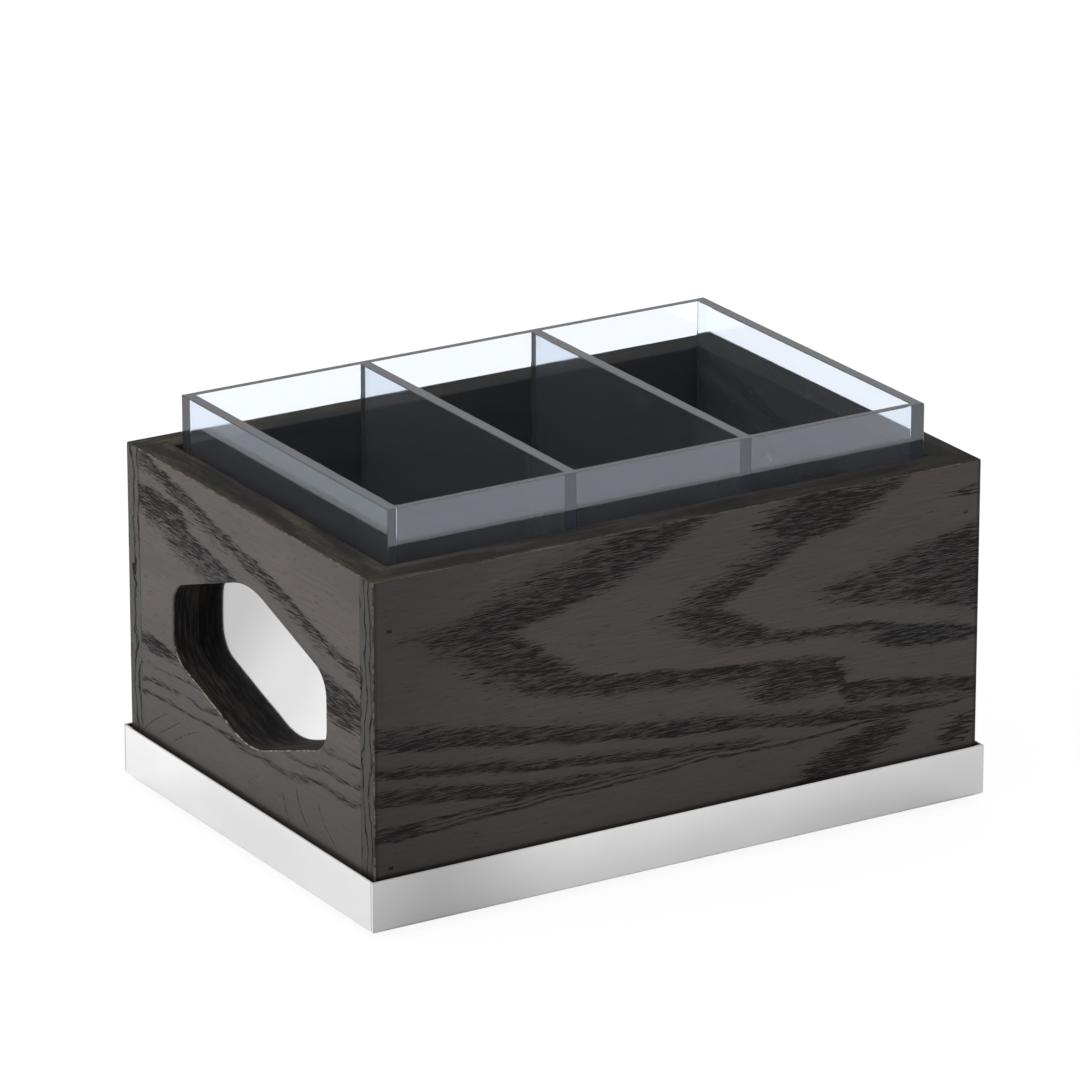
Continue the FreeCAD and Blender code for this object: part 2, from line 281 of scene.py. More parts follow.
def new_material(name, **plain):
    """A material with one Principled shader, whose even values are set on its own sockets."""
    material = bpy.data.materials.new(name)
    material.use_nodes = True
    tree = material.node_tree
    shader = tree.nodes["Principled BSDF"]
    for label, value in plain.items():
        shader.inputs[label.replace("_", " ")].default_value = value
    return material, tree, shader


def bumped(tree, shader, height, distance, strength=1.0):
    """Raises or sinks the surface by height times distance, in metres."""
    bump = tree.nodes.new("ShaderNodeBump")
    bump.inputs["Distance"].default_value = distance
    bump.inputs["Strength"].default_value = strength
    feed(tree, bump.inputs["Height"], height)
    tree.links.new(bump.outputs[0], shader.inputs["Normal"])


print("helpers for materials ready")

# %% [markdown]
# ## Growth rings
# A flat-sawn oak face cuts the cone of each year's growth, so every ring shows
# as a pointed arch that lies along the board. The group below says how far
# inside the outermost arch a point is. It takes the distance along the board
# and subtracts what the arch's two limbs add away from its tip line, and both
# limbs wander a little, as a tree does. Below its knee a limb turns and runs
# off along the board. The group puts out one number in millimetres, so each
# board can place its own rings on it.


# %% Growth rings
def fringe(tree, along, up, seed):
    """Short tongues along the grain, which break up the border of a band."""
    return swing(tree, stretch(tree, (along, 0.07), (up, 1.1), (seed, 1.0)), 2, 0.6)


rings, given, leave = new_group(
    "growth_rings",
    {"Along": 0.0, "Up": 0.0, "Tip Height": 0.0, "Tip Drop": 0.0,
     "Rise Above": 2.0, "Bow Above": 0.0, "Rise Below": 2.0, "Knee": 0.0, "Rise Past Knee": 0.0,
     "Wander": 3.0, "Comb": 8.0, "Seed": 0.0},
    ["Ring"],
)
along, up, seed = given["Along"], given["Up"], given["Seed"]
slow = swing(rings, stretch(rings, (along, 0.016), (up, 0.03), (seed, 1.0)), 1)
ripple_seed = calc(rings, "ADD", seed, 4)
ripple = swing(rings, stretch(rings, (along, 0.05), (up, 0.16), (ripple_seed, 1.0)), 2)
sway = times(rings, given["Wander"], calc(rings, "MULTIPLY_ADD", slow, 2.2, ripple))
drop = times(rings, given["Tip Drop"], between(rings, along, -110, 0))
from_tip = calc(rings, "SUBTRACT", calc(rings, "ADD", up, drop), given["Tip Height"])
height = calc(rings, "ADD", from_tip, sway)
above = calc(rings, "MAXIMUM", height, 0.0)
below = calc(rings, "MAXIMUM", times(rings, height, -1.0), 0.0)
slope_above = calc(rings, "MULTIPLY_ADD", given["Bow Above"], above, given["Rise Above"])
limb_above = times(rings, above, slope_above)
past_knee = calc(rings, "MAXIMUM", calc(rings, "SUBTRACT", below, given["Knee"]), 0.0)
limb_below = calc(rings, "MULTIPLY_ADD", given["Rise Below"], below,
                  times(rings, past_knee, given["Rise Past Knee"]))
comb = times(rings, given["Comb"], fringe(rings, along, up, calc(rings, "ADD", seed, 9)))
ring = calc(rings, "SUBTRACT", calc(rings, "ADD", along, comb),
            calc(rings, "ADD", limb_above, limb_below))
feed(rings, leave["Ring"], ring)
print("growth_rings:", len(rings.nodes), "nodes")

# %% [markdown]
# ## Open pores
# Oak drinks stain through its pores, which are fine tubes along the grain. In
# spring wood they crowd together and show as short black dashes; in summer
# wood only a few are left. A noise pulled long along the grain gives dashes,
# and the spring mask moves its threshold, so the dashes thin out at the edge
# of a band instead of stopping at a line. They waver a little, as the tubes do.

# %% Open pores
PORE_SWAY = 1.6
FEW_PORES, MANY_PORES = 0.68, 0.42

pores, given, leave = new_group(
    "open_pores",
    {"Along": 0.0, "Across": 0.0, "Depth": 0.0, "Spring": 0.0, "Length": 5.5, "Width": 0.27},
    ["Pores", "Figure"],
)
along, across, depth = given["Along"], given["Across"], given["Depth"]
waver = swing(pores, stretch(pores, (along, 0.12), (across, 0.3), (depth, 0.3)))
swayed = calc(pores, "MULTIPLY_ADD", waver, PORE_SWAY, across)
dash_place = combine(pores, calc(pores, "DIVIDE", along, given["Length"]),
                     calc(pores, "DIVIDE", swayed, given["Width"]),
                     calc(pores, "DIVIDE", depth, given["Width"]))
dashes = noise(pores, dash_place, 1, 2, 0.55)
threshold = between(pores, given["Spring"], 0, 1, FEW_PORES, MANY_PORES, "LINEAR")
over = calc(pores, "SUBTRACT", dashes, threshold)
feed(pores, leave["Pores"], between(pores, over, -0.02, 0.06))
figure_place = stretch(pores, (along, 1 / 16.0), (across, 1 / 0.9), (depth, 1 / 0.9))
feed(pores, leave["Figure"], noise(pores, figure_place, 1, 4, 0.65))
print("open_pores:", len(pores.nodes), "nodes")

# %% [markdown]
# ## Worn edges
# Hands and cloths rub a box first along its outer edges. For a box the worn
# places can be worked out from the distances to its faces: where two of them
# are small at the same time there is an edge. Noise breaks the line up.


# %% Worn edges
def distance_between(tree, first, second):
    """How far apart two numbers are."""
    return size_of(tree, calc(tree, "SUBTRACT", first, second))


worn, given, leave = new_group(
    "worn_edges",
    {"Position": (0.0, 0.0, 0.0), "Half Size": (100.0, 100.0, 100.0), "Centre Height": 0.0,
     "Width": 0.8, "Patchiness": 0.5},
    ["Wear"],
)
x, y, z = split(worn, given["Position"])
half_x, half_y, half_z = split(worn, given["Half Size"])
from_x = distance_between(worn, half_x, size_of(worn, x))
from_y = distance_between(worn, half_y, size_of(worn, y))
from_z = distance_between(worn, half_z, distance_between(worn, z, given["Centre Height"]))
low_xy = calc(worn, "MINIMUM", from_x, from_y)
high_xy = calc(worn, "MAXIMUM", from_x, from_y)
second = calc(worn, "MINIMUM", high_xy, calc(worn, "MAXIMUM", low_xy, from_z))
close = between(worn, second, 0, given["Width"], 1, 0)
rub = noise(worn, given["Position"], 0.22, 4, 0.75)
patch = between(worn, rub, calc(worn, "SUBTRACT", given["Patchiness"], 0.04),
                calc(worn, "ADD", given["Patchiness"], 0.14))
feed(worn, leave["Wear"], times(worn, close, patch))
print("worn_edges:", len(worn.nodes), "nodes")

# %% [markdown]
# ## Fine scratches and dust
# Polished metal, acrylic and rubber all pick up hairline scratches and specks.
# A noise pulled long on a slant makes the hairlines, a high threshold on a
# small noise leaves a few specks of dust, and a slow noise clouds the polish.

# %% Fine scratches and dust
marks, given, leave = new_group(
    "fine_marks",
    {"Position": (0.0, 0.0, 0.0), "Hairline Length": 30.0, "Hairline Width": 0.25},
    ["Hairlines", "Dust", "Cloud"],
)
x, y, z = split(marks, given["Position"])
long_way = calc(marks, "DIVIDE", calc(marks, "MULTIPLY_ADD", y, 0.83, x), given["Hairline Length"])
short_way = calc(marks, "DIVIDE", calc(marks, "MULTIPLY_ADD", y, 0.21, z), given["Hairline Width"])
lines = noise(marks, combine(marks, long_way, short_way, times(marks, y, 0.5)), 1, 2)
feed(marks, leave["Hairlines"], between(marks, lines, 0.5, 0.75))
feed(marks, leave["Dust"], between(marks, noise(marks, given["Position"], 2.2, 1), 0.76, 0.8))
feed(marks, leave["Cloud"], noise(marks, given["Position"], 0.02, 3))
print("fine_marks:", len(marks.nodes), "nodes")

# %% [markdown]
# ## Measures of the wooden box
# The finish follows the box itself: its rim, its corners, the seams beside the
# end panels and the hand holes. Its measures are read from the solids, so the
# finish stays right if a size of the box changes. Only the hand hole's opening
# is given here as numbers, because no solid is exactly as large as it is.

# %% Measures of the wooden box
GRAIN_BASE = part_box("base_pan")[1].z / MM
WOOD_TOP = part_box("front_panel")[1].z / MM
BOX_HALF_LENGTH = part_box("front_panel")[1].x / MM
BOX_HALF_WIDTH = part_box("back_panel")[1].y / MM
END_PANEL_HALF_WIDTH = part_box("left_end_panel")[1].y / MM
INNER_HALF_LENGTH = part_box("right_end_panel")[0].x / MM
INNER_HALF_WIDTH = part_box("back_panel")[0].y / MM
HOLE_CENTRE = 73.0
HOLE_HALF_HEIGHT = 33.0
HOLE_HALF_LENGTH = 57.0
HOLE_MARGIN = 1.5
print("wooden box in mm:", round(2 * BOX_HALF_LENGTH, 1), round(2 * BOX_HALF_WIDTH, 1),
      "rim at", round(WOOD_TOP, 1))

# %% [markdown]
# ## Stain colours
# A charcoal stain isn't black. It is a dark grey where it lies thin, browner
# where the wood took more of it, and nearly black only in the pores. Colours
# are chosen as display values, because a colour on a screen is easy to judge.

# %% Stain colours
STAIN_GREY = paint(54, 51, 50)
STAIN_BROWN = paint(58, 52, 49)
STAIN_WARM = paint(62, 55, 51)
STAIN_DEEP = paint(25, 23, 22)
RIM_DARK = paint(23, 21, 18)
RIM_LIGHT = paint(49, 45, 38)
REVEAL_DARK = paint(13, 12, 12)
REVEAL_LIGHT = paint(42, 39, 37)
PORE_BLACK = paint(10, 10, 10)
WORN_EDGE = paint(150, 142, 128)
print("lightest stain:", [round(part, 4) for part in STAIN_WARM[:3]])

# %% [markdown]
# ## Spring wood
# Each year's first wood starts at a sharp line on the inner side of its ring
# and thins out outwards. A colour ramp along the ring number says where it is:
# white is spring wood, black is summer wood. The knee of a ring's lower limb
# may move along the board, as it does where a branch pressed on the trunk.

# %% Spring wood
RING_LOW, RING_HIGH = -650.0, 650.0
LONGEST_FRINGE = 18.0


def spring_wood(tree, ring, bands):
    """A mask of spring wood from bands of (start, end, strength) along the ring number."""
    ramp = tree.nodes.new("ShaderNodeValToRGB")
    feed(tree, ramp.inputs[0], between(tree, ring, RING_LOW, RING_HIGH, kind="LINEAR"))
    elements = ramp.color_ramp.elements
    elements.remove(elements[1])
    elements[0].position = 0
    elements[0].color = (0, 0, 0, 1)
    for start, end, strength in bands:
        soft = min(0.4 * (end - start), LONGEST_FRINGE)
        stops = ((start - 0.3 * soft, 0.0), (start + soft, 0.8 * strength),
                 (end - 0.3 * soft, strength), (end + 0.15 * soft, 0.0))
        for place, value in stops:
            element = elements.new((place - RING_LOW) / (RING_HIGH - RING_LOW))
            element.color = (value, value, value, 1)
    to_value = tree.nodes.new("ShaderNodeRGBToBW")
    tree.links.new(ramp.outputs["Color"], to_value.inputs[0])
    return to_value.outputs[0]


def moving_knee(tree, along, stops):
    """A knee whose depth changes along the board, from (place, depth) stops."""
    knee = stops[0][1]
    for (start, before), (end, after) in zip(stops, stops[1:]):
        change = between(tree, along, start, end, 0, after - before, "LINEAR")
        knee = calc(tree, "ADD", knee, change)
    return knee


print("spring wood reads rings from", RING_LOW, "to", RING_HIGH, "mm")

# %% [markdown]
# ## Wild grain and rays
# Rings alone look too regular. Where a branch was near, the pores crowd in
# leaning ovals, and near the foot of a quartered board a few thin rays cross
# the grain as upright arcs. Both are drawn from a handful of numbers a piece.

# %% Wild grain and rays
TONGUE_LENGTH = 40.0


def wild_patch(tree, along, height, patch):
    """A leaning oval of crowded pores, from its middle, half length, half height and lean."""
    middle, level, half_length, half_height, lean = patch
    ragged = calc(tree, "MULTIPLY_ADD", fringe(tree, along, height, 9), TONGUE_LENGTH, along)
    lift = calc(tree, "SUBTRACT", height, level)
    shift = calc(tree, "SUBTRACT", ragged, calc(tree, "MULTIPLY_ADD", lift, lean, middle))
    reach = calc(tree, "ADD",
                 calc(tree, "POWER", calc(tree, "DIVIDE", shift, half_length), 2.0),
                 calc(tree, "POWER", calc(tree, "DIVIDE", lift, half_height), 2.0))
    return between(tree, reach, 0.5, 1.6, 1, 0)


def ray_arc(tree, along, height, arc):
    """A thin upright arc, from its middle, its level, its half height, its lean and its bow."""
    middle, level, half_height, lean, bow = arc
    lift = calc(tree, "SUBTRACT", height, level)
    line = times(tree, lift, calc(tree, "MULTIPLY_ADD", lift, bow, lean))
    aside = distance_between(tree, along, calc(tree, "ADD", line, middle))
    inside = between(tree, size_of(tree, lift), 0.6 * half_height, half_height, 1, 0)
    broken = between(tree, noise(tree, combine(tree, along, height, 3), 0.7, 2), 0.36, 0.52)
    return times(tree, between(tree, aside, 0.15, 0.65, 1, 0), inside, broken)


def spring_of_board(tree, along, height, board):
    """Where a board's spring wood is, from its rings, its wild patches and a slow fading."""
    spring = 0.0
    for family in board["families"]:
        ring = place_group(tree, rings, Along=times(tree, along, family["way"]), Up=height,
                           Knee=moving_knee(tree, along, family["knees"]), Seed=board["seed"],
                           **family["rings"])["Ring"]
        spring = calc(tree, "MAXIMUM", spring, spring_wood(tree, ring, family["bands"]))
    for patch in board["patches"]:
        spring = calc(tree, "MAXIMUM", spring, wild_patch(tree, along, height, patch))
    slow_place = stretch(tree, (along, 0.012), (height, 0.03), (board["seed"] + 31, 1.0))
    fading = between(tree, noise(tree, slow_place, 1, 2), 0.3, 0.45, board["fading"], 1.0)
    return times(tree, spring, fading)


print("wild grain and rays ready")

# %% [markdown]
# ## Where a point is on the box
# One finish covers a board's faces, its ends and its rim, and each of them
# shows other grain: arches on the face, upright veneer on the end, and blotches
# on the rim. So every formula starts from the same few values: the place, the
# way that the surface faces, and masks for the rim and for the board's ends.


# %% Where a point is on the box
def place_on_box(tree, board):
    """The values that every mask of the oak starts from, in millimetres."""
    position, facing = object_place(tree)
    x, y, z = split(tree, position)
    face_x, face_y, face_z = (size_of(tree, part) for part in split(tree, facing))
    long_board = board["grain"] == "X"
    along, across = (x, y) if long_board else (times(tree, y, -1.0), x)
    return SimpleNamespace(
        position=position, x=x, y=y, z=z, face_x=face_x, face_y=face_y, long_board=long_board,
        along=along, across=across, height=calc(tree, "SUBTRACT", z, GRAIN_BASE),
        on_top=between(tree, face_z, 0.55, 0.85),
        on_end=between(tree, face_x if long_board else face_y, 0.55, 0.85))


def upright_bands(tree, spot):
    """Upright veneer on a board's end: wavy lines, and the sideways place that follows them."""
    bend = swing(tree, stretch(tree, (0.0, 1.0), (spot.y, 0.08), (spot.z, 0.05)))
    sideways = calc(tree, "MULTIPLY_ADD", bend, 10.0, spot.across)
    lines = calc(tree, "SINE", times(tree, sideways, 1.5))
    return between(tree, lines, 0.3, 0.9, 0.1, 1.0), sideways


def oak_grain(tree, board, spot):
    """Three masks: the spring wood, the pores in it, and the fine figure of the wood."""
    spring = spring_of_board(tree, spot.along, spot.height, board)
    spring = choose(tree, spot.on_top, spring, 0.5)
    end_spring, sideways = upright_bands(tree, spot) if spot.long_board else (0.5, spot.across)
    spring = choose(tree, spot.on_end, spring, end_spring)
    grain = place_group(tree, pores, Along=spot.along, Across=spot.z, Depth=spot.across,
                        Spring=spring, Length=board["pore_length"])
    upright = place_group(tree, pores, Along=spot.z, Across=sideways, Depth=spot.along,
                          Spring=spring, Length=3.0, Width=0.3)
    pore = choose(tree, spot.on_end, grain["Pores"], upright["Pores"])
    for arc in board["arcs"]:
        ray = ray_arc(tree, spot.along, spot.height, arc)
        pore = calc(tree, "MAXIMUM", pore, times(tree, ray, 0.75))
    figure = choose(tree, spot.on_end, grain["Figure"], upright["Figure"])
    return spring, pore, figure


print("oak grain ready")

# %% [markdown]
# ## The stain on the faces and on the rim
# Stain goes on by hand, so it is cloudy: browner and greyer by turns, and
# darker towards the foot. Painted shade darkens the faces towards one end and
# on the inside of the box. The rim is end grain and edge grain that hands touch
# often. It is darker, in soft blotches along the grain, and painted light makes
# its left end lighter and its right end darker.


# %% The stain on the faces and on the rim
def face_stain(tree, board, spot, spring, figure):
    """The stain of the upright faces, before the pores, with painted shade towards one end and on
    the inner faces.
    """
    cloud_place = stretch(tree, (spot.along, 0.012), (spot.across, 0.03), (spot.z, 0.045))
    cloud = calc(tree, "MAXIMUM", between(tree, noise(tree, cloud_place, 1, 3), 0.4, 0.6),
                 between(tree, spot.height, 5, 45, 0.7, 0))
    stain = blend_colours(tree, cloud, STAIN_GREY, board["brown"])
    stain = toned(tree, stain, between(tree, figure, 0.3, 0.7, 0.82, 1.17, "LINEAR"))
    inner = INNER_HALF_WIDTH if spot.long_board else INNER_HALF_LENGTH
    shades = (
        times(tree, spring, 0.34),
        between(tree, spot.height, 0, 55, board["foot_shade"], 0),
        # painted shade towards one end of the board
        between(tree, spot.along, *board["end_shade"]),
        times(tree, spot.on_end, 0.25),
        # painted shade on the inner faces of the box
        between(tree, size_of(tree, spot.across), inner + 0.2, inner + 0.5, 0.6, 0),
    )
    for shade in shades:
        stain = blend_colours(tree, shade, stain, STAIN_DEEP)
    return stain


def rim_stain(tree, spot, figure):
    """The stain of the rim, with painted light that makes its left end lighter and its right end
    darker.
    """
    blotch_place = stretch(tree, (spot.along, 0.022), (spot.across, 0.16), (spot.z, 0.16))
    blotch = between(tree, noise(tree, blotch_place, 1, 4, 0.6), 0.4, 0.68)
    stain = blend_colours(tree, blotch, RIM_DARK, RIM_LIGHT)
    stain = toned(tree, stain, between(tree, figure, 0.3, 0.7, 0.8, 1.2, "LINEAR"))
    # Painted light: lighter at the left end, nearer the key light, and darker at the right.
    painted_light_falloff = between(tree, spot.x, -BOX_HALF_LENGTH, BOX_HALF_LENGTH, 1.5, 0.6, "LINEAR")
    return toned(tree, stain, painted_light_falloff)


print("stain of the faces and the rim ready")

# %% [markdown]
# ## Seams, corners and the hand hole
# Stain gathers in a seam and beside a corner, and it is rubbed off the corner
# itself. Inside the hand hole the cut edges of the board show, darker and in
# streaks. Its lower edge has light chips where fingers and trays knock it, and
# they are kept to that upward-facing edge, so they also paint its highlight.


# %% Seams, corners and the hand hole
def dark_lines(tree, spot):
    """Lines of gathered stain: at the sides of an end panel, and beside the box's corners."""
    from_seam = distance_between(tree, size_of(tree, spot.y), END_PANEL_HALF_WIDTH)
    seam = times(tree, between(tree, from_seam, 0.05, 0.3, 0.8, 0), spot.face_x)
    beside = between(tree, size_of(tree, spot.x), BOX_HALF_LENGTH - 1.9, BOX_HALF_LENGTH - 1.2)
    beside = times(tree, beside, between(tree, spot.face_y, 0.75, 0.95), 0.6)
    return calc(tree, "MAXIMUM", seam, beside)


def rubbed_edges(tree, spot):
    """Wear along the box's edges, the most at its upright corners."""
    wear = place_group(tree, worn, Position=spot.position, Centre_Height=GRAIN_BASE,
                       Half_Size=(BOX_HALF_LENGTH, BOX_HALF_WIDTH, WOOD_TOP - GRAIN_BASE),
                       Width=0.6, Patchiness=0.46)["Wear"]
    corner = between(tree, times(tree, spot.face_x, spot.face_y), 0.1, 0.35)
    return times(tree, wear, between(tree, corner, 0, 1, 0.6 if spot.long_board else 1.1, 1.1))


def hand_hole(tree, spot):
    """A mask for the cut edges of the board, their colour, and the chips on the lower edge, which
    also paint its highlight.
    """
    in_hole = 1.0
    for distance, half_size in ((size_of(tree, spot.y), HOLE_HALF_LENGTH),
                                (distance_between(tree, spot.z, HOLE_CENTRE), HOLE_HALF_HEIGHT)):
        in_hole = times(tree, in_hole,
                        between(tree, distance, half_size, half_size + HOLE_MARGIN, 1, 0))
    cut_edge = times(tree, in_hole, between(tree, spot.face_x, 0.25, 0.45, 1, 0))
    streak = noise(tree, stretch(tree, (spot.x, 1.3), (spot.y, 0.1), (spot.z, 0.1)), 1, 3)
    raw = blend_colours(tree, between(tree, streak, 0.4, 0.7), REVEAL_DARK, REVEAL_LIGHT)
    rounded = times(tree, in_hole, between(tree, spot.face_x, 0.3, 0.5),
                    between(tree, spot.face_x, 0.8, 0.95, 1, 0))
    chipped = between(tree, noise(tree, spot.position, 0.3, 4, 0.8), 0.42, 0.56)
    # Kept to the lower edge, which faces up to the light: the chips there are also a painted
    # highlight.
    lower_edge_highlight = between(tree, spot.z, HOLE_CENTRE - 20, HOLE_CENTRE - 6, 1, 0.1)
    return cut_edge, raw, times(tree, rounded, chipped, lower_edge_highlight, 2.1)


print("seams, corners and hand hole ready")

# %% [markdown]
# ## Stained oak
# The box is oak veneer under a charcoal stain and a thin satin lacquer. The
# stain, the pores, the dark lines and the wear are laid over each other in the
# order in which they came on the real box. The lacquer bridges nothing: it is
# missing in the pores, on the rim and on the cut edges, so they look dull.


# %% Stained oak
PORE_DEPTH = 0.06 * MM


def stained_oak(name, board):
    """Oak with its grain along X or Y, stained, lacquered and a little worn."""
    material, tree, shader = new_material(
        name, Specular_IOR_Level=0.12, Coat_Roughness=0.22, Coat_IOR=1.45)
    spot = place_on_box(tree, board)
    spring, pore, figure = oak_grain(tree, board, spot)
    # The face stain carries painted shade, and the rim stain carries painted light along the rim.
    stain = face_stain(tree, board, spot, spring, figure)
    stain = blend_colours(tree, spot.on_top, stain, rim_stain(tree, spot, figure))
    stain = blend_colours(tree, times(tree, pore, 0.8), stain, PORE_BLACK)
    stain = blend_colours(tree, dark_lines(tree, spot), stain, PORE_BLACK)
    wear = rubbed_edges(tree, spot)
    dull = calc(tree, "MAXIMUM", pore, spot.on_top)
    if not spot.long_board:
        cut_edge, raw, chips_and_highlight = hand_hole(tree, spot)
        stain = blend_colours(tree, cut_edge, stain, raw)
        # The hole's chips are wear and also a painted highlight on its lower edge.
        wear = calc(tree, "MAXIMUM", wear, chips_and_highlight)
        dull = calc(tree, "MAXIMUM", dull, cut_edge)
    stain = blend_colours(tree, times(tree, wear, 0.33), stain, WORN_EDGE)
    feed(tree, shader.inputs["Base Color"], stain)
    feed(tree, shader.inputs["Roughness"], between(tree, dull, 0, 1, 0.45, 0.8, "LINEAR"))
    feed(tree, shader.inputs["Coat Weight"], between(tree, dull, 0, 1, 0.2, 0.0, "LINEAR"))
    relief = calc(tree, "SUBTRACT", times(tree, figure, 0.3), pore)
    bumped(tree, shader, relief, PORE_DEPTH, 0.6)
    return material


print("stained oak ready")

# %% [markdown]
# ## The front board
# No two boards of oak are alike, so the front, the back and the ends get a
# figure each. A family is a set of rings with one tip line. The front has
# arches that lie on their sides, whose limbs turn off at their knees, above a
# fan of long thin lines. Its outer arch, its inner arch and its core are
# families of their own, because their limbs spread in different ways. Way says
# which end the tips point to, and all places and sizes are in millimetres.

# %% The front board
FRONT_ARCH = dict(Tip_Height=85.5, Tip_Drop=12.0, Rise_Below=1.6, Rise_Past_Knee=4.0)
OUTER_KNEE = [(-60, 23.0), (-33, 16.6), (-7, 10.2), (43, 6.6), (63, 5.8), (70, 19.0), (113, 17.0)]
INNER_KNEE = [(-60, 23.0), (80, 9.0)]
FRONT_BOARD = dict(
    grain="X", brown=STAIN_BROWN, pore_length=6.0, fading=0.85, seed=0.0,
    # end_shade paints shade towards one end of the board.
    end_shade=(-130, -55, 0.55, 0), foot_shade=0.35,
    families=[
        dict(way=1, knees=OUTER_KNEE, bands=[(-120, -68, 1.0)],
             rings=dict(FRONT_ARCH, Rise_Above=2.9, Bow_Above=-0.018, Wander=2.5, Comb=13.0)),
        dict(way=1, knees=INNER_KNEE, bands=[(-16, 17, 1.0)],
             rings=dict(FRONT_ARCH, Rise_Above=1.9, Bow_Above=0.008, Wander=3.5, Comb=14.0)),
        dict(way=1, knees=INNER_KNEE, bands=[(48, 160, 1.0)],
             rings=dict(FRONT_ARCH, Rise_Above=5.2, Bow_Above=0.0, Wander=3.5, Comb=14.0)),
        dict(way=-1, knees=[(0, 0.0)], bands=[(-136, -80, 1.0), (-52, -13, 1.0), (4, 68, 1.0)],
             rings=dict(Tip_Height=19.0, Rise_Above=9.0, Bow_Above=-0.06,
                        Rise_Below=40.0, Wander=2.5, Comb=24.0))],
    patches=[(49, 40, 20, 8, 0.0), (57, 102, 24, 9, 0.5), (73, 8, 16, 10, 1.8),
             (103, 47, 20, 5, -2.5), (-119, 15, 12, 3, 0.0), (119, 8, 5, 6, 0.6),
             (121, 99, 5, 2, 0.0)],
    arcs=[])
front_oak = stained_oak("stained_oak_front", FRONT_BOARD)
print("front oak:", len(front_oak.node_tree.nodes), "nodes")

# %% [markdown]
# ## The back board
# The back was cut from the same log, so it has the front's stain and pores but
# other rings: one family of arches near its middle height, with wide bands.

# %% The back board
BACK_BOARD = dict(
    grain="X", brown=STAIN_BROWN, pore_length=6.0, fading=0.7, seed=57.0,
    end_shade=(60, 130, 0, 0.4), foot_shade=0.35,
    families=[
        dict(way=-1, knees=[(-60, 12.0), (80, 20.0)],
             rings=dict(Tip_Height=44.0, Tip_Drop=0.0, Rise_Above=1.7, Bow_Above=0.06,
                        Rise_Below=1.8, Rise_Past_Knee=5.0, Wander=4.5, Comb=18.0),
             bands=[(-430, -390, 0.8), (-300, -265, 0.9), (-190, -150, 0.9),
                    (-92, -50, 1.0), (2, 32, 1.0), (76, 150, 0.95)])],
    patches=[(-20, 88, 26, 6, -0.8), (40, 22, 18, 6, 0.6)],
    arcs=[])
back_oak = stained_oak("stained_oak_back", BACK_BOARD)
print("back oak:", len(back_oak.node_tree.nodes), "nodes")

# %% [markdown]
# ## The end boards
# The ends are closer to quarter-sawn: slanting bands above the hand hole, long
# lines below it, and a few rays at the foot. Both ends share one figure. Their
# stain is a little warmer, because they are touched the most.

# %% The end boards
END_BOARD = dict(
    grain="Y", brown=STAIN_WARM, pore_length=5.5, fading=0.75, seed=21.0,
    end_shade=(60, 90, 0, 0.15), foot_shade=0.5,
    families=[
        dict(way=1, knees=[(0, 0.0)], bands=[(-268, -202, 0.95), (-178, -140, 1.0)],
             rings=dict(Tip_Height=125.0, Rise_Above=4.5, Rise_Below=4.5,
                        Wander=3.0, Comb=18.0)),
        dict(way=1, knees=[(0, 0.0)],
             bands=[(362, 392, 0.6), (455, 490, 0.75), (540, 580, 0.8)],
             rings=dict(Tip_Height=60.0, Rise_Above=4.5, Rise_Below=-14.0,
                        Wander=6.0, Comb=26.0))],
    patches=[(-62, 92, 20, 6, -1.0), (67, 57, 14, 8, 0.0), (-70, 37, 16, 3.5, 0.0)],
    arcs=[(-72, 7, 7, 1.5, 0.04), (-60, 8, 6, 1.7, 0.0), (-48, 9, 6, 1.9, 0.05),
          (26, 6, 6, -0.5, 0.03), (37, 9, 8, -0.7, 0.04), (54, 9, 8, -1.0, 0.05)])
end_oak = stained_oak("stained_oak_end", END_BOARD)
print("end oak:", len(end_oak.node_tree.nodes), "nodes")

# %% [markdown]
# ## Polished steel
# The pan is thin stainless steel, folded and polished. Polish is never quite
# flat, so a very long, very low wave bends the reflections, and hairlines run
# along the faces. Metallic is a plain 1, and only the colour and roughness
# change over the surface.


# %% Polished steel
HAIRLINE_DEPTH = 0.0003


def soft_drift(tree, value, stops):
    """A slow change of tone along one direction, from (place, tone) stops."""
    ramp = tree.nodes.new("ShaderNodeValToRGB")
    ramp.color_ramp.interpolation = "EASE"
    first, last = stops[0][0], stops[-1][0]
    feed(tree, ramp.inputs[0], between(tree, value, first, last, kind="LINEAR"))
    elements = ramp.color_ramp.elements
    elements.remove(elements[1])
    for index, (place, tone) in enumerate(stops):
        element = elements[0] if index == 0 else elements.new((place - first) / (last - first))
        element.color = (tone, tone, tone, 1)
    return ramp.outputs["Color"]


def polished_steel(name, tone, roughness, wave, tone_and_painted_reflection=None):
    """Steel whose colour may be multiplied by a function: a painted reflection on the pan and
    plates, a tone on the brads. It takes the tree, position and facing; wave is in mm.
    """
    material, tree, shader = new_material(name, Metallic=1.0)
    position, facing = object_place(tree)
    mark = place_group(tree, marks, Position=position)
    darker = tuple(part * 0.97 for part in tone[:3]) + (1,)
    colour = blend_colours(tree, between(tree, mark["Cloud"], 0.35, 0.65), tone, darker)
    # On the pan and the plates this multiplies a painted reflection into the colour.
    if tone_and_painted_reflection:
        colour = toned(tree, colour, tone_and_painted_reflection(tree, position, facing))
    feed(tree, shader.inputs["Base Color"], colour)
    rough = calc(tree, "MULTIPLY_ADD", mark["Hairlines"], 0.05, roughness)
    feed(tree, shader.inputs["Roughness"], calc(tree, "MULTIPLY_ADD", mark["Dust"], 0.2, rough))
    long_wave = times(tree, noise(tree, position, 0.035, 1), wave)
    relief = calc(tree, "MULTIPLY_ADD", mark["Hairlines"], -HAIRLINE_DEPTH, long_wave)
    bumped(tree, shader, relief, 1.0 * MM)
    return material


print("polished steel ready")

